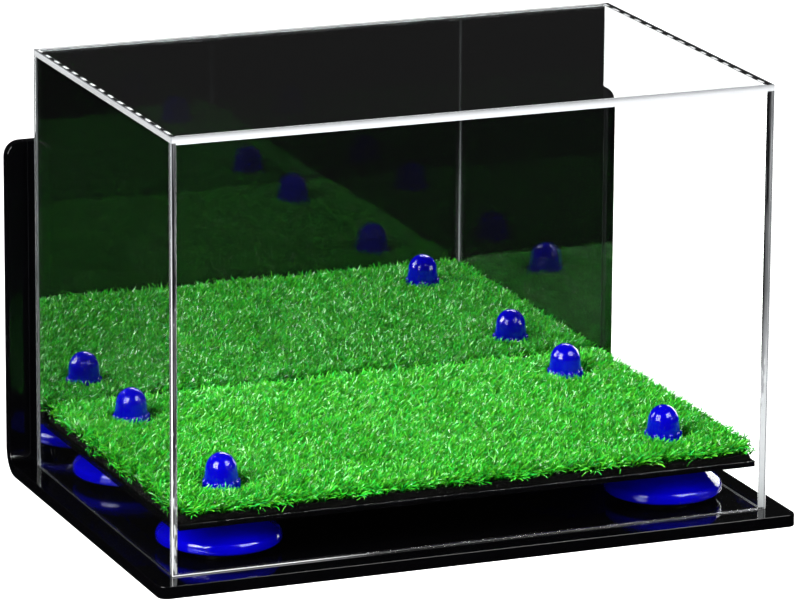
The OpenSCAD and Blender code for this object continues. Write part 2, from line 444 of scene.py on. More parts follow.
cover = block("clear_cover_shell", cover_low, cover_high)
edit(cover)
select_where(cover, "FACE", lambda p, n: n.z < -0.5 or n.y > 0.5)
bpy.ops.mesh.delete(type="FACE")
leave()
modify(cover, "SOLIDIFY", thickness=WALL_T, offset=-1, use_even_offset=True)
heal(cover)
ease(cover, ROUND)
for level, across in (((0, 0, LAP_Z), (0, 0, 1)), ((0, 0, FOOT_Z), (0, 0, 1)),
                      ((0, LAP_Y, 0), (0, 1, 0))):
    edit(cover)
    select_where(cover, "FACE", on_outside)
    bpy.ops.mesh.bisect(plane_co=level, plane_no=across)
    leave()
FINISHES = (CLEAR, EDGE_TOP, EDGE_SIDE, EDGE_RIM, EDGE_DIM, EDGE_FOOT, EDGE_END, EDGE_CORNER,
            EDGE_BROKEN)
paint(cover, *FINISHES)
for face in cover.data.polygons:
    p, n = face.center, face.normal
    by_side, by_front = abs(p.x) > cover_high.x - ROUND, p.y < cover_low.y + ROUND
    by_rear, upright = p.y > cover_high.y - ROUND, abs(n.z) < 0.5
    top_rim = p.z > cover_high.z - ROUND and 0.1 < n.z < 0.98
    tests = (
        (EDGE_BROKEN, top_rim and (by_side or by_front or by_rear)),
        (EDGE_SIDE, p.z > LAP_Z and by_side and abs(n.x) > 0.3 and abs(n.z) < 0.95),
        (EDGE_TOP, p.z > LAP_Z and upright and (by_front or p.y > cover_high.y - NEAR)),
        (EDGE_CORNER, by_side and by_front and upright and 0.2 < abs(n.x) < 0.98),
        (EDGE_FOOT, p.z < FOOT_Z and by_front),
        (EDGE_RIM, n.z < -0.99 and p.z < cover_low.z + NEAR),
        (EDGE_BROKEN, p.z < cover_low.z + ROUND and by_side),
        (EDGE_DIM, n.y > 0.99 and p.y > cover_high.y - NEAR),
        (EDGE_END, abs(n.x) > 0.98 and abs(p.x) > cover_high.x - NEAR and p.y < LAP_Y),
        (CLEAR, True))
    face.material_index = FINISHES.index(next(finish for finish, fits in tests if fits))
piece(cover, "cover", "clear_acrylic", None, "cover_front_panel", "cover_left_panel",
      "cover_right_panel", "cover_top_panel")

# %% [markdown]
# Solvent never fills a joint all the way: it leaves voids, which look black where they turn
# the light away, and dried trails, white where they catch it. The lower ends of the upright
# joints are the whitest. Each joint gets a thin film inside the sheet, because that is where
# the trapped air is.

# %% Solvent in the upright joints
# Thin dried cement: smoky streaks down the joint, darkest at its left, and white trails that
# gather at its foot. The right joint is calmer, paler and whiter, from higher up.
JOINT_MID = cover_high.x - WALL_T / 2
CEMENT, tree, shader = finish_named("dried_solvent_cement", IOR=1.49, Roughness=0.35,
                                    Specular_IOR_Level=0.1)
axes = put(tree, "SeparateXYZ", (put(tree, "TexCoord", out="Object"),)).node.outputs
side = put(tree, "Math", (axes["X"],), operation="SIGN")
on_right = put(tree, "Math", (side, 0.0), operation="MAXIMUM")
middle = put(tree, "Math", (side, JOINT_MID), operation="MULTIPLY")
from_mid = put(tree, "Math", (axes["X"], middle), operation="SUBTRACT")
across = put(tree, "MapRange", (from_mid, -0.3 * WALL_T, 0.5 * WALL_T))
height = put(tree, "MapRange", (axes["Z"], cover_low.z, cover_high.z))
share = put(tree, "Math", (side, -0.11, height), operation="MULTIPLY_ADD")

# White trails: more of them low down.
low_trails = put(tree, "MapRange", (share, 0.5, 0.04, 0.0, 0.55))
trail_amount = put(tree, "Math", (side, -0.45, 1.05), operation="MULTIPLY_ADD")
spots = put(tree, "Math", (grain(tree, 2.2, 2.0, (0.5, 1, 2.6)), 0.5), operation="SUBTRACT")
trails = put(tree, "Math", (spots, trail_amount, low_trails), operation="MULTIPLY_ADD")
white = put(tree, "MapRange", (trails, 0.33, 0.43))

# Smoke: streaks that grow paler across the joint, and on the right towards its foot too.
lines = put(tree, "MapRange", (grain(tree, 0.9, 1.0, (1, 1, 40)), 0.35, 0.65, -0.13, 0.09))
streaks = put(tree, "Math", (across, 0.22, lines), operation="MULTIPLY_ADD")
milky = put(tree, "MapRange", (share, 0.41, 0.2, 0.0, 0.6))
squared = put(tree, "Math", (across, 2.0), operation="POWER")
paler = put(tree, "Math", (squared, 0.24, milky), operation="MULTIPLY_ADD")
streaks = put(tree, "Math", (on_right, paler, streaks), operation="MULTIPLY_ADD")
depth = put(tree, "MapRange", (streaks, 0.0, 1.0))
smoke = put(tree, "Mix", {"Factor": depth, "A": "#040405", "B": "#7E7F81"}, data_type="RGBA")
mottle(tree, shader, white, smoke, "#838586")

# %% Solvent under the top sheet
# Here it was run in from inside with a needle that stopped about every half inch: white
# dashes with black voids between them, along the inner side of the joint.
NEEDLE_STOP = 13.5 * MM
DASH_FROM, DASH_TO = cover_high.x - 1.6 * MM, cover_high.x - 2.0 * MM
DASHED, tree, shader = finish_named("dashed_solvent_cement", IOR=1.49, Roughness=0.35,
                                    Specular_IOR_Level=0.1)
axes = put(tree, "SeparateXYZ", (put(tree, "TexCoord", out="Object"),)).node.outputs
turns = put(tree, "Math", (axes["Y"], 2 * math.pi / NEEDLE_STOP), operation="MULTIPLY")
beat = put(tree, "Math", (turns,), operation="SINE")
ragged = put(tree, "Math", (beat, 0.3, grain(tree, 1.6, 3.0)), operation="MULTIPLY_ADD")
outwards = put(tree, "Math", (axes["X"],), operation="ABSOLUTE")
inner = put(tree, "MapRange", (outwards, DASH_FROM, DASH_TO))
dashes = put(tree, "MapRange", (ragged, 0.46, 0.62))
white = put(tree, "Math", (dashes, inner), operation="MULTIPLY")
mottle(tree, shader, white, "#040405", "#D2D4D5")

# %% Films in the joints
FILM = 0.06 * MM
ROOM = 0.5 * MM
SIDE_ROOM = 0.12 * MM


def films(name, corners, material):
    """Thin blocks between pairs of corners, joined into one piece inside the sheets."""
    parts = [block(name, low, high) for low, high in corners]
    deselect()
    for part in parts:
        part.select_set(True)
    bpy.context.view_layer.objects.active = parts[0]
    bpy.ops.object.join()
    joined = bpy.context.active_object
    joined.name = joined.data.name = name
    joined.visible_shadow = False
    piece(joined, "cover", "clear_acrylic", material)


walls = [sorted((side * (cover_high.x - SIDE_ROOM), side * INNER_X))
         for side in (-1, 1)]
films("cover_upright_joints", [((x0, LAP_Y, cover_low.z + ROOM), (x1, LAP_Y + FILM, LAP_Z))
                               for x0, x1 in walls], CEMENT)
films("cover_top_joints", [((x0, LAP_Y, LAP_Z - FILM), (x1, cover_high.y - ROOM, LAP_Z))
                           for x0, x1 in walls], DASHED)

# %% [markdown]
# The solvent that was squeezed out dried as a small bead in the inner corner under the front
# of the top sheet.

# %% Beads of solvent
BEAD = 0.75 * MM
BEADS, tree, shader = finish_named("bead_of_acrylic_solvent", IOR=1.49, Roughness=0.1,
                                   Transmission_Weight=0.1)
mottle(tree, shader, grain(tree, 2.0, 2.0, (8, 8, 1)), "#919395", "#A6A8A9")
bead = block("cover_front_bead", (-INNER_X, LAP_Y, LAP_Z - 2 * BEAD),
             (INNER_X, LAP_Y + BEAD, LAP_Z))
edit(bead, "EDGE")
select_where(bead, "EDGE", lambda p: p.y > LAP_Y + BEAD - NEAR and p.z < LAP_Z - 2 * BEAD + NEAR)
bpy.ops.mesh.bevel(offset=0.9 * BEAD, segments=4)
leave()
smooth(bead, 60)
piece(bead, "cover", "clear_acrylic", BEADS)
bead.visible_shadow = False

# %% [markdown]
# A clear pane in a studio doesn't darken what stands behind it, but a path tracer would leave
# a grainy shadow under it. So the cover casts no shadow, and soft bounce light ignores it.

# %% Let the studio light in
cover.visible_shadow = False
cover.visible_diffuse = False

# %% [markdown]
# ## Mirror sheet
#
# The rear wall is mirrored acrylic: clear sheet with aluminium on its back, under a grey
# lacquer. Only its front is seen inside the case, so it is a panel with a bright front face,
# and the lacquer on all the others.

# %% Mirror and lacquer
# Evaporated aluminium behind acrylic: a bright mirror, a shade greyer than glass.
MIRROR, tree, shader = finish_named("aluminium_mirrored_acrylic", Metallic=1.0, Roughness=0.01)
mottle(tree, shader, grain(tree, 80), "#D3D6D8", "#DCDFE0")

# Protective lacquer, rolled on: matt grey with a fine orange peel.
LACQUER, tree, shader = finish_named("grey_mirror_backing_lacquer", Roughness=0.5)
peel = grain(tree, 1.5, 3.0)
mottle(tree, shader, peel, "#252728", "#303234")
emboss(tree, shader, peel, 0.1, 0.4)

# %% Mirror panel
WELD = 0.02 * MM
MIRROR_EASE = 0.25 * MM
mirror = block("mirror_sheet", mirror_low + Vector((WELD, 0, 0)),
               mirror_high - Vector((WELD, 0, WELD)))
ease(mirror, MIRROR_EASE)
paint(mirror, MIRROR, LACQUER)
for face in mirror.data.polygons:
    face.material_index = 0 if face.normal.y < -0.9 else 1
piece(mirror, "cover", "mirrored_acrylic", None, "cover_mirror_panel")

# %% [markdown]
# ## Turf platform
#
# A plain sheet of black acrylic, drilled for the four fasteners. It is the same polished stock
# as the base, only thinner.

# %% Platform
plat_low, plat_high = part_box("turf_platform")
RISERS = {}
for place in ("front_left", "front_right", "back_left", "back_right"):
    low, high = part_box("riser_disc_" + place)
    RISERS[place] = (low + high) / 2
PASS_R = 2.7 * MM
PLATFORM_EASE = 0.3 * MM

platform = block("turf_platform_sheet", plat_low, plat_high)
for spot in RISERS.values():
    drill(platform, (spot.x, spot.y, plat_low.z), PASS_R, "Z", 32)
heal(platform)
ease(platform, PLATFORM_EASE)
piece(platform, "turf_stand", "black_acrylic", BLACK, "turf_platform")

# %% [markdown]
# ## Riser discs
#
# Moulded buttons of blue plastic: a short upright side, a tight shoulder, then a shallow dome
# up to a flat crown under the platform. A disc is round, so it is turned: its profile is drawn
# point by point and spun. The others are copies of it.

# %% Blue plastic
# Injection moulded and glossy: a saturated ultramarine, slightly wavy from its mould.
BLUE, tree, shader = finish_named("moulded_ultramarine_plastic", IOR=1.5, Roughness=0.04,
                                  Specular_IOR_Level=0.42)
mottle(tree, shader, grain(tree, 14), "#01007C", "#020086")
emboss(tree, shader, grain(tree, 9, 1.0), 0.05, 0.12)

# %% Disc
disc_low, disc_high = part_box("riser_disc_front_left")
DISC_R = (disc_high.x - disc_low.x) / 2
DISC_H = disc_high.z - disc_low.z
SIDE_H = 2.8 * MM
SIDE_ROUND = 1.7 * MM
SHOULDER_R = 4.2 * MM
CROWN_R = 9 * MM
DOME_LEAD = 4.5

# The dome is the arc that leaves the shoulder smoothly and meets the edge of the crown.
shoulder_end = math.degrees(math.atan2(DISC_R - CROWN_R, DISC_H - SIDE_H)) - DOME_LEAD
outward = Vector((math.cos(math.radians(shoulder_end)), math.sin(math.radians(shoulder_end))))
shoulder_at = Vector((DISC_R - SHOULDER_R, SIDE_H))
dome_start = shoulder_at + SHOULDER_R * outward
run = Vector((CROWN_R, DISC_H)) - dome_start
dome_r = -run.length_squared / (2 * run.dot(outward))
dome_at = dome_start - dome_r * outward
dome_end = math.degrees(math.atan2(DISC_H - dome_at.y, CROWN_R - dome_at.x))
disc_profile = ([(PASS_R, DISC_H), (PASS_R, 0)]
                + arc((DISC_R - SIDE_ROUND, SIDE_ROUND), SIDE_ROUND, -90, 0, 8)
                + arc(shoulder_at, SHOULDER_R, 0, shoulder_end, 12)
                + arc(dome_at, dome_r, shoulder_end, dome_end, 12)[1:]
                + [(PASS_R, DISC_H)])
disc = turned("riser_disc_master", disc_profile, 96)
smooth(disc, 30)


def at_risers(master, stem, node_stem, slot, material, level, turns=None):
    """Copies of a turned master at the four risers, each with its turn in degrees."""
    for place, spot in RISERS.items():
        twin = bpy.data.objects.new(f"{stem}_{place}", master.data.copy())
        twin.data.name = twin.name
        bpy.context.collection.objects.link(twin)
        turn = math.radians(turns[place] if turns else 0)
        twin.data.transform(Matrix.Translation((spot.x, spot.y, level))
                            @ Matrix.Rotation(turn, 4, "Z"))
        piece(twin, "turf_stand", slot, material, f"{node_stem}_{place}")
    bpy.data.objects.remove(master)


at_risers(disc, "disc", "riser_disc", "blue_plastic", BLUE, disc_low.z)

# %% [markdown]
# ## Rubber feet and screws
#
# Under each disc a soft foot keeps the screw head off the base. A socket screw stands head
# down in the foot, with its thread reaching up into the dome nut.

# %% Rubber
# Moulded black rubber: dull, with a fine sandy skin.
RUBBER, tree, shader = finish_named("moulded_black_rubber", Roughness=0.7, IOR=1.52)
sand = grain(tree, 0.6)
mottle(tree, shader, sand, "#0C0C0C", "#151515")
emboss(tree, shader, sand, 0.08, 0.5)

# %% Foot
foot_low, foot_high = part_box("riser_foot_front_left")
FOOT_R = (foot_high.x - foot_low.x) / 2
FOOT_H = foot_high.z - foot_low.z
POCKET_R = 5.1 * MM
WEB_T = 1.0 * MM
FOOT_ROUND = 0.6 * MM
RIM_ROUND = 0.4 * MM
LEAD_IN = 0.3 * MM
foot_profile = ([(PASS_R, FOOT_H - WEB_T), (POCKET_R, FOOT_H - WEB_T), (POCKET_R, LEAD_IN),
                 (POCKET_R + LEAD_IN, 0)]
                + arc((FOOT_R - FOOT_ROUND, FOOT_ROUND), FOOT_ROUND, -90, 0, 4)
                + arc((FOOT_R - RIM_ROUND, FOOT_H - RIM_ROUND), RIM_ROUND, 0, 90, 3)
                + [(PASS_R, FOOT_H), (PASS_R, FOOT_H - WEB_T)])
foot = turned("riser_foot_master", foot_profile, 64)
smooth(foot, 30)
at_risers(foot, "foot", "riser_foot", "foot_rubber", RUBBER, foot_low.z)

# %% Zinc-plated screws
# Bright zinc on turned steel: a soft metal sheen with a fine turned grain. The screws keep
# their construction shape, because all but their sockets is buried.
ZINC, tree, shader = finish_named("bright_zinc_plated_steel", Metallic=1.0, Roughness=0.3)
mottle(tree, shader, grain(tree, 0.8, 3.0), "#B2B4B2", "#D2D3CF")
for place in RISERS:
    paint(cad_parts["riser_screw_" + place], ZINC)
print("screws plated:", len(RISERS))

# %% [markdown]
# ## Dome nuts
#
# A bell-shaped cap nut that fingers can turn: a tall straight side under a round crown, and a
# ring of small lobes for grip round its skirt. It is turned like the disc, with enough steps
# for the lobes, and then the points of the skirt are moved out to each lobe's own circle.

# %% Nut
nut_low, nut_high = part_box("dome_nut_front_left")
NUT_H = nut_high.z - nut_low.z
NUT_R = 7.95 * MM
SKIRT_R = 8.5 * MM
CROWN_H = 8.6 * MM
BORE_R = 2.6 * MM
BORE_H = 10.5 * MM
FOOT_CUT = 0.25 * MM
LOBES = 12
LOBE_R = 1.5 * MM
LOBE_RING = SKIRT_R + 1.1 * MM - LOBE_R
LOBE_H = 7.4 * MM
LOBE_EASE = 1.5 * MM
LOBE_TOP = LOBE_H - LOBE_EASE
SKIRT_STEP = 0.05 * MM
NUT_TURNS = {"front_left": 19, "front_right": 6, "back_left": 18, "back_right": 27}


def lobe_reach(turn, height):
    """Radius of the lobed outline at a turn about the axis, rounded off at its top."""
    step = 2 * math.pi / LOBES
    off = (turn + step / 2) % step - step / 2
    drop = max(0.0, height - LOBE_TOP) / LOBE_EASE
    size = LOBE_R * math.sqrt(max(0.0, 1 - min(1.0, drop) ** 2))
    reach = size * size - (LOBE_RING * math.sin(off)) ** 2
    return LOBE_RING * math.cos(off) + math.sqrt(reach) if reach > 0 else 0.0


def dome_nut(name):
    """The turned bell, then its skirt pushed out into lobes."""
    straight = NUT_H - CROWN_H
    skirt = [(SKIRT_R, FOOT_CUT)] + [(SKIRT_R, LOBE_H * share) for share in (0.2, 0.4, 0.6)]
    skirt += [(SKIRT_R - SKIRT_STEP, LOBE_TOP + LOBE_EASE * share)
              for share in (0, 0.2, 0.4, 0.55, 0.68, 0.8, 0.89, 0.96, 1.03, 1.15)]
    start = skirt[-1][1]
    side = [(SKIRT_R - (SKIRT_R - NUT_R) * t, start + (straight - start) * t)
            for t in (0.25, 0.5, 0.75)]
    profile = ([(0, BORE_H), (BORE_R, BORE_H), (BORE_R, 0), (SKIRT_R - FOOT_CUT, 0)]
               + skirt + side + arc((0, straight), NUT_R, 0, 90, 16, CROWN_H))
    nut = turned(name, profile, LOBES * 20)
    for v in nut.data.vertices:
        radius = math.hypot(v.co.x, v.co.y)
        if radius > SKIRT_R - 2 * FOOT_CUT and v.co.z < LOBE_H:
            reach = lobe_reach(math.atan2(v.co.y, v.co.x), v.co.z)
            if v.co.z < NEAR:
                reach -= FOOT_CUT
            if reach > radius:
                v.co.x *= reach / radius
                v.co.y *= reach / radius
    return nut


nut = dome_nut("dome_nut_master")
smooth(nut, 38)
at_risers(nut, "nut", "dome_nut", "blue_plastic", BLUE, nut_low.z, NUT_TURNS)

# %% [markdown]
# ## Turf backing
#
# Woven cloth dipped in black latex. Knife-cut, its edges are ragged and hairy. A slab is cut
# into small squares and the points of its rim are shaken a little; hairs are added further on.

# %% Latex and backing
# Black latex over cloth: matt and lumpy.
LATEX, tree, shader = finish_named("black_latex_on_cloth", Roughness=1.0,
                                   Specular_IOR_Level=0.05)
lumps = grain(tree, 1.6, 4.0)
mottle(tree, shader, lumps, "#010101", "#050504")
emboss(tree, shader, lumps, 0.6, 0.8)

CLOTH_CUT = 2.2 * MM
FRAY = 0.7 * MM
CORNER_Y = 90 * MM
back_low, back_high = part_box("turf_backing")
backing = block("turf_backing_cloth", back_low, back_high)
for spot in RISERS.values():
    drill(backing, (spot.x, spot.y, back_low.z), PASS_R, "Z", 32)
edit(backing)
for axis, low, high in ((0, back_low.x, back_high.x), (1, back_low.y, back_high.y)):
    count = int((high - low) / CLOTH_CUT)
    across = Vector((1 - axis, axis, 0))
    for i in range(1, count):
        select_all()
        bpy.ops.mesh.bisect(plane_co=across * (low + (high - low) * i / count),
                            plane_no=across)
select_all()
bpy.ops.mesh.bisect(plane_co=(0, 0, (back_low.z + back_high.z) / 2), plane_no=(0, 0, 1))
leave()
heal(backing)
dice = np.random.default_rng(7)
for v in backing.data.vertices:
    edge = min(v.co.x - back_low.x, back_high.x - v.co.x, v.co.y - back_low.y,
               back_high.y - v.co.y)
    if edge < NEAR:
        inward = Vector((-math.copysign(1, v.co.x) if abs(v.co.x) > back_high.x - NEAR else 0,
                         -math.copysign(1, v.co.y) if abs(v.co.y) > CORNER_Y else 0, 0))
        v.co += inward * dice.uniform(0.0, FRAY)
smooth(backing, 60)
piece(backing, "turf_stand", "turf_backing", LATEX, "turf_backing")

# %% [markdown]
# ## Turf pile
#
# The pile is slit green film, tufted through the cloth in small bunches that lean and curl
# together. A hair system would be quick, but it doesn't leave the program as a mesh. So one
# blade is modelled by hand, and every copy is bent along its own curve. Near a nut the blades
# are short and pressed outwards, because the nut was turned down on them.

# %% Turf film
# Polyethylene film, slick and a little waxy, with painted shade: dark at the root, where shade
# gathers, and bright at the tip. The blade attribute holds a point's height along its blade, and
# its blade's own tint and tone.
TURF, tree, shader = finish_named("slit_green_polyethylene_film", IOR=1.5, Roughness=0.22,
                                  Specular_IOR_Level=0.45)
own = put(tree, "Attribute", out="Vector", attribute_name="blade")
parts = put(tree, "SeparateXYZ", (own,)).node.outputs
# Painted shade: the ramp darkens each blade from its tip down to its root.
height = put(tree, "ValToRGB", (parts["X"],))
stops = height.node.color_ramp.elements
stops[0].color, stops[1].color = linear("#031701"), linear("#28A924")
stops.new(0.5).color = linear("#067E09")
tint = put(tree, "MapRange", (parts["Y"], 0.0, 1.0, 0.47, 0.515))
tone = put(tree, "MapRange", (parts["Z"], 0.0, 1.0, 0.35, 1.35))
film = put(tree, "HueSaturation", {"Color": height, "Hue": tint, "Value": tone})
tree.links.new(film, shader.inputs["Base Color"])

# %% One blade
BLADE_STEPS = 4
TIP = 0.45


def blade_pattern():
    """A flat strip one wide and one long, cut across and narrowed at its tip. It gives, for
    every point, its place across and along, and for every face its points."""
    deselect()
    bpy.ops.mesh.primitive_plane_add(size=1, location=(0, 0.5, 0))
    blade = apply_place(bpy.context.active_object)
    edit(blade)
    for i in range(1, BLADE_STEPS):
        select_all()
        bpy.ops.mesh.bisect(plane_co=(0, i / BLADE_STEPS, 0), plane_no=(0, 1, 0))
    select_where(blade, "VERT", lambda p: p.y > 1 - NEAR)
    bpy.ops.transform.resize(value=(TIP, 1, 1), center_override=(0, 1, 0))
    leave()
    points = np.array([v.co[:2] for v in blade.data.vertices])
    faces = np.array([list(f.vertices) for f in blade.data.polygons])
    bpy.data.objects.remove(blade)
    return points, faces


BLADE_POINTS, BLADE_FACES = blade_pattern()
print("one blade:", len(BLADE_POINTS), "points,", len(BLADE_FACES), "faces")

# %% Bending the copies
PATH_STEPS = 8
# Blades that reach the panes are pressed flat against them.
PANE_GAP = Vector((0.3 * MM, 0.3 * MM, 0))
PANE_LOW = Vector((-INNER_X, LAP_Y, 0)) + PANE_GAP
PANE_HIGH = Vector((INNER_X, mirror_low.y, 0)) - PANE_GAP


def strips(name, root, heading, length, lean, bend, sway, width, twist, marks):
    """Copies of the blade. Each starts at its root, leans from upright by an angle that grows
    by bend along it, towards a heading that drifts by sway, and turns on itself by twist."""
    count, (across, along) = len(root), BLADE_POINTS.T
    heading, length, lean, bend, sway, width, twist = (
        values[:, None] for values in (heading, length, lean, bend, sway, width, twist))
    share = np.linspace(0, 1, PATH_STEPS + 1)
    tilt, course = lean + bend * share, heading + sway * share
    step = np.stack([np.sin(tilt) * np.cos(course), np.sin(tilt) * np.sin(course),
                     np.cos(tilt)], axis=2) * (length / PATH_STEPS)[..., None]
    path = np.cumsum(step, axis=1) - step + root[:, None]
    at = along * PATH_STEPS
    whole = np.minimum(at.astype(int), PATH_STEPS - 1)
    part = (at - whole)[:, None]
    spine = path[:, whole] * (1 - part) + path[:, whole + 1] * part
    way, lean_at, turn = heading + sway * along, lean + bend * along, twist * (along - 0.3)
    side = np.stack([-np.sin(way), np.cos(way), np.zeros_like(way)], axis=2)
    face = np.stack([np.cos(lean_at) * np.cos(way), np.cos(lean_at) * np.sin(way),
                     -np.sin(lean_at)], axis=2)
    wide = side * np.cos(turn)[..., None] + face * np.sin(turn)[..., None]
    points = spine + wide * (across * width)[..., None]
    points[..., 0] = np.clip(points[..., 0], PANE_LOW.x, PANE_HIGH.x)
    points[..., 1] = np.clip(points[..., 1], PANE_LOW.y, PANE_HIGH.y)
    mesh = bpy.data.meshes.new(name)
    faces = (BLADE_FACES[None] + (np.arange(count) * len(across))[:, None, None])
    mesh.from_pydata(points.reshape(-1, 3), [], faces.reshape(-1, BLADE_FACES.shape[1]).tolist())
    values = np.empty((count, len(across), 3), np.float32)
    values[..., 0], values[..., 1:] = along, marks[:, None, :]
    blade = mesh.attributes.new("blade", "FLOAT_VECTOR", "POINT")
    blade.data.foreach_set("vector", values.ravel())
    mesh.polygons.foreach_set("use_smooth", np.ones(len(mesh.polygons), bool))
    obj = bpy.data.objects.new(name, mesh)
    bpy.context.collection.objects.link(obj)
    return obj


# %% Where the tufts stand and how they lean
pile_low, pile_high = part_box("turf_pile")
TUFT_GAP = 1.95 * MM
TUFT_INSET = 0.5 * MM
BLADES_PER_TUFT = 9
NUT_CLEAR = 10 * MM
PRESSED_R = 15 * MM
FRINGE = 2.5 * MM
KNIFE = 1.8 * MM
# What each blade is drawn from: the middle and the spread.
ROOT_MM = (0, 0.35)
LENGTH_MM = (8.6, 0.9)
WIDTH_MM = (0.56, 0.09)
LEAN_DEGREES = (22, 10)
BEND_DEGREES = (54, 18)
SWAY, TWIST, OWN_WAY = (0, 1.1), (0, 2.8), (0, 1.1)
TINT = (0.5, 0.25)
# Degrees more where they are pressed down, and at the fringe.
PRESSED_LEAN, FRINGE_LEAN, FRINGE_BEND = 38, 24, 26


def wander(x, y, scale, seed):
    """A smooth value between about -1 and 1 that wanders over the bed, from a few waves."""
    waves = np.random.default_rng(seed)
    total = np.zeros_like(x)
    for _ in range(9):
        turn, phase = waves.uniform(0, 2 * math.pi, 2)
        pitch = 2 * math.pi / (scale * waves.uniform(0.6, 1.6))
        total += np.sin((x * math.cos(turn) + y * math.sin(turn)) * pitch + phase)
    return total / 3.5


def to_edges(x, y):
    """How far inside the bed's left, right, front and rear edge places lie."""
    return np.stack([x - pile_low.x, pile_high.x - x, y - pile_low.y, pile_high.y - y])


def tufts():
    """Root points of all tufts, jittered on a grid, none inside a nut."""
    dice = np.random.default_rng(11)
    xs = np.arange(pile_low.x + TUFT_INSET, pile_high.x - TUFT_INSET, TUFT_GAP)
    ys = np.arange(pile_low.y + TUFT_INSET, pile_high.y - TUFT_INSET, TUFT_GAP)
    x, y = (a.ravel() for a in np.meshgrid(xs, ys))
    x = x + dice.normal(0, 0.3 * TUFT_GAP, len(x))
    y = y + dice.normal(0, 0.3 * TUFT_GAP, len(y))
    rim = to_edges(x, y).min(axis=0)
    keep = rim > 0
    for spot in RISERS.values():
        keep &= np.hypot(x - spot.x, y - spot.y) > NUT_CLEAR
    # The knife took some tufts along the edges.
    keep &= (rim > KNIFE) | (wander(x, y, 5 * MM, 9) < 0.15)
    return x[keep], y[keep]


def short_way(goal, heading):
    """The short way round from a heading to its goal, with its sign."""
    return (goal - heading + math.pi) % (2 * math.pi) - math.pi


def lay_turf(strip_count):
    """The pile, in so many strips from left to right."""
    dice = np.random.default_rng(23)
    tx, ty = tufts()
    total = len(tx) * BLADES_PER_TUFT
    x, y = np.repeat(tx, BLADES_PER_TUFT), np.repeat(ty, BLADES_PER_TUFT)

    # Each tuft has its own turn and each blade its own way, and both are combed one way.
    comb = -0.4 + 0.5 * wander(x, y, 70 * MM, 3) + 0.5 * wander(x, y, 14 * MM, 4)
    tuft_turn = np.repeat(dice.uniform(0, 2 * math.pi, len(tx)), BLADES_PER_TUFT)
    own_way = tuft_turn + dice.normal(*OWN_WAY, total)
    pull = 1.1 + 0.4 * wander(x, y, 25 * MM, 5)
    heading = np.arctan2(np.sin(own_way) + pull * np.sin(comb),
                         np.cos(own_way) + pull * np.cos(comb))
    length = dice.normal(*LENGTH_MM, total) * MM
    lean = np.radians(dice.normal(*LEAN_DEGREES, total))
    bend = np.radians(dice.normal(*BEND_DEGREES, total))

    # Round a nut they are pressed down and outwards: free is 0 at the nut and 1 away from it.
    free = np.full(total, 1.0)
    for spot in RISERS.values():
        away = np.hypot(x - spot.x, y - spot.y)
        close = away < PRESSED_R
        share = np.clip((away - NUT_CLEAR) / (PRESSED_R - NUT_CLEAR), 0, 1)
        turn_out = short_way(np.arctan2(y - spot.y, x - spot.x), heading)
        heading = np.where(close, heading + turn_out * (1 - share) ** 0.7, heading)
        free = np.where(close, share, free)
    length *= 0.6 + 0.4 * free
    lean += np.radians(PRESSED_LEAN) * (1 - free)
    bend *= 0.5 + 0.5 * free

    # Along the cut edges clumps of them fall outwards.
    gaps = to_edges(x, y)
    outward = np.choose(np.argmin(gaps, axis=0), [math.pi, 0.0, -math.pi / 2, math.pi / 2])
    clump = np.clip(0.55 + 0.6 * wander(x, y, 9 * MM, 8), 0, 1)
    fringe = np.clip(1 - np.min(gaps, axis=0) / FRINGE, 0, 1) * clump
    heading += short_way(outward, heading) * fringe * 0.85
    lean += np.radians(FRINGE_LEAN) * fringe
    bend += np.radians(FRINGE_BEND) * fringe

    root = np.stack([np.clip(x + dice.normal(*ROOT_MM, total) * MM, pile_low.x, pile_high.x),
                     np.clip(y + dice.normal(*ROOT_MM, total) * MM, pile_low.y, pile_high.y),
                     np.full(total, pile_low.z)], axis=1)
    tint = np.clip(dice.normal(*TINT, total), 0, 1)
    tone = np.clip(0.5 + 0.2 * wander(x, y, 12 * MM, 6) + dice.normal(0, 0.25, total), 0, 1)
    sway = dice.normal(*SWAY, total)
    width = dice.normal(*WIDTH_MM, total) * MM
    twist = dice.normal(*TWIST, total)
    blades = (root, heading, length, lean, bend, sway, width, twist,
              np.stack([tint, tone], axis=1))
    edges = np.quantile(x, np.linspace(0, 1, strip_count + 1))
    for i in range(strip_count):
        in_strip = (x >= edges[i]) & ((x < edges[i + 1]) | (i == strip_count - 1))
        bed = strips(f"turf_pile_{i + 1}", *(values[in_strip] for values in blades))
        piece(bed, "turf_stand", "turf_grass", TURF, "turf_pile")


lay_turf(8)

# %% Hairs on the backing's cut edges
HAIRS = 2600
HAIR_ROOT, HAIR_LOW = 0.8 * MM, 0.4 * MM
HAIR_MM = (1.2, 2.6)
HAIR_W = 0.22 * MM


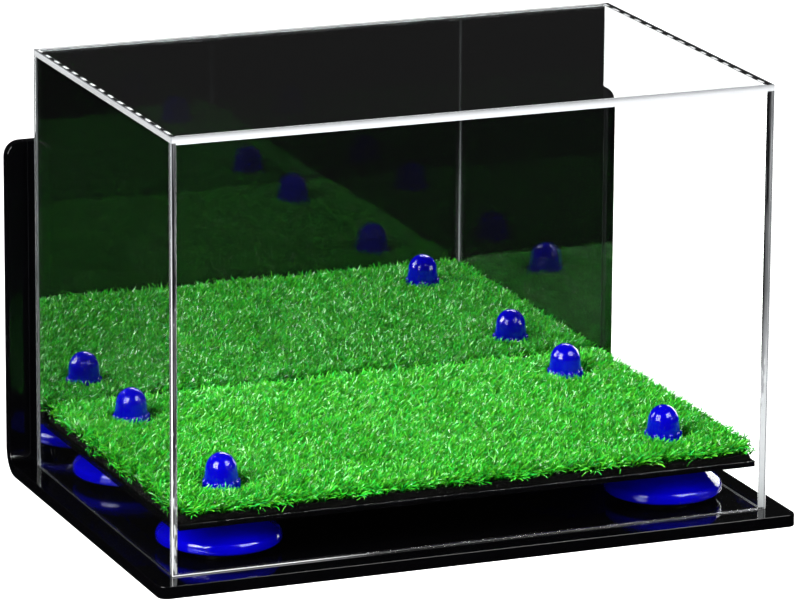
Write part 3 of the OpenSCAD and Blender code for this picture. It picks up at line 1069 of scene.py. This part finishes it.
def edge_hairs():
    """Short curly threads of cloth that stand out of the backing's cut edges: first its front,
    then its rear, left and right."""
    dice = np.random.default_rng(31)
    half_x, half_y = back_high.x, (back_high.y - back_low.y) / 2
    halves = np.array([half_x, half_x, half_y, half_y])
    ends = np.cumsum(2 * halves)
    run = dice.uniform(0, ends[-1], HAIRS)
    side = np.searchsorted(ends, run, side="right")
    along = run - (ends - halves)[side]
    x = np.choose(side, [along, along, -half_x, half_x])
    y = np.choose(side, [-half_y, half_y, along, along]) + (back_high.y + back_low.y) / 2
    out = np.choose(side, [-math.pi / 2, math.pi / 2, math.pi, 0.0])
    root = np.stack([x - HAIR_ROOT * np.cos(out), y - HAIR_ROOT * np.sin(out),
                     dice.uniform(back_low.z + HAIR_LOW, back_high.z, HAIRS)], axis=1)
    heading = out + dice.normal(0, 0.6, HAIRS)
    length = dice.uniform(*HAIR_MM, HAIRS) * MM
    lean = np.radians(dice.normal(80, 18, HAIRS))
    bend = np.radians(dice.normal(10, 50, HAIRS))
    sway, twist = dice.normal(0, 1.5, HAIRS), dice.normal(0, 2, HAIRS)
    hairs = strips("turf_backing_hairs", root, heading, length, lean, bend, sway,
                   np.full(HAIRS, HAIR_W), twist, np.full((HAIRS, 2), 0.5))
    piece(hairs, "turf_stand", "turf_backing", LATEX)


edge_hairs()

# %% [markdown]
# ## Studio
#
# A pale seamless floor, a soft dome of light, two large soft boxes in front and a smaller one
# behind at the right. Glossy black and mirror show whatever stands round them, so the studio is
# dark to reflections: the floor and the dome light the case and fill the background, and only
# the boxes show in its gloss. The Light Path node tells which kind of ray has come.

# %% Rays that come by way of a reflection
def by_reflection(tree):
    """One for a ray that was reflected on its way, or zero if it came straight, through clear
    sheet or as the soft light that surfaces scatter."""
    reflected = put(tree, "Math", (put(tree, "LightPath", out="Glossy Depth"), 1.0),
                    operation="MINIMUM")
    sharp = put(tree, "Math", (1.0, put(tree, "LightPath", out="Is Diffuse Ray")),
                operation="SUBTRACT")
    return put(tree, "Math", (reflected, sharp), operation="MULTIPLY")


def through_sheet(tree):
    """One for a ray that came through clear sheet and by no reflection, or zero."""
    passed = put(tree, "Math", (put(tree, "LightPath", out="Transmission Depth"), 1.0),
                 operation="MINIMUM")
    straight = put(tree, "Math", (1.0, by_reflection(tree)), operation="SUBTRACT")
    return put(tree, "Math", (passed, straight), operation="MULTIPLY")


# %% Floor
FLOOR_HALF = 30.0
FLOOR_GLOW = 0.25
SHEET_GLOW = 1.2
deselect()
bpy.ops.mesh.primitive_plane_add(size=2 * FLOOR_HALF)
floor = bpy.context.active_object
floor.name = "studio_floor"
PAPER, tree, shader = finish_named("pale_studio_paper", Roughness=1.0, Specular_IOR_Level=0.0)
mottle(tree, shader, by_reflection(tree), "#FBFBFB", "#050505")
behind = put(tree, "Math", (through_sheet(tree), SHEET_GLOW), operation="MULTIPLY")
glow = put(tree, "Math", (put(tree, "LightPath", out="Is Camera Ray"), FLOOR_GLOW, behind),
           operation="MULTIPLY_ADD")
tree.links.new(glow, shader.inputs["Emission Strength"])
shader.inputs["Emission Color"].default_value = (1, 1, 1, 1)
paint(floor, PAPER)

# %% Dome of light
DOME = 0.67
DARK_STUDIO = 0.018
world = bpy.data.worlds.new("studio_dome")
bpy.context.scene.world = world
world.use_nodes = True
tree = world.node_tree
glow = put(tree, "MapRange", (by_reflection(tree), 0.0, 1.0, DOME, DARK_STUDIO))
tree.nodes["Background"].inputs["Color"].default_value = (1, 1, 1, 1)
tree.links.new(glow, tree.nodes["Background"].inputs["Strength"])

# %% Soft boxes
AIM = Vector((0, 0, 0.08))


def soft_box(name, direction, distance, width, height, brightness):
    """A rectangular lamp that faces the case. Brightness is the light of its cloth, where the
    background's white is one, and the lamp's power follows from it and its size."""
    lamp = bpy.data.lights.new(name, "AREA")
    lamp.shape = "RECTANGLE"
    lamp.size, lamp.size_y = width, height
    lamp.energy = brightness * math.pi * width * height
    box = bpy.data.objects.new(name, lamp)
    bpy.context.collection.objects.link(box)
    towards = Vector(direction).normalized()
    box.location = AIM + towards * distance
    box.rotation_mode = "QUATERNION"
    box.rotation_quaternion = towards.to_track_quat("Z", "Y")


soft_box("left_soft_box", (-0.820, -0.348, 0.455), 1.5, 0.95, 1.0, 22.0)
soft_box("right_soft_box", (0.453, -0.659, 0.66), 1.5, 0.95, 0.72, 13.0)
soft_box("right_rear_strip", (0.80, 0.55, 0.12), 1.4, 0.9, 0.6, 7.2)

# %% [markdown]
# ## Camera
#
# A long lens from the left front, a little above the case. It is given by its place and by
# three angles: the way it looks, how far down, and a slight roll.

# %% Camera
AZIMUTH, ELEVATION, ROLL = math.radians(22.17), math.radians(15.08), math.radians(0.39)
CAMERA_AT = Vector((-1.1216, -2.7555, 0.9053))
lens = bpy.data.cameras.new("studio_camera")
lens.lens = 274.7
lens.sensor_width = 36.0
lens.clip_start, lens.clip_end = 0.1, 100.0
camera = bpy.data.objects.new("studio_camera", lens)
bpy.context.collection.objects.link(camera)
camera.matrix_world = (Matrix.Translation(CAMERA_AT) @ Matrix.Rotation(-AZIMUTH, 4, "Z")
                       @ Matrix.Rotation(math.pi / 2 - ELEVATION, 4, "X")
                       @ Matrix.Rotation(ROLL, 4, "Z"))
bpy.context.scene.camera = camera
bpy.context.scene.view_settings.view_transform = "Standard"
bpy.context.view_layer.update()
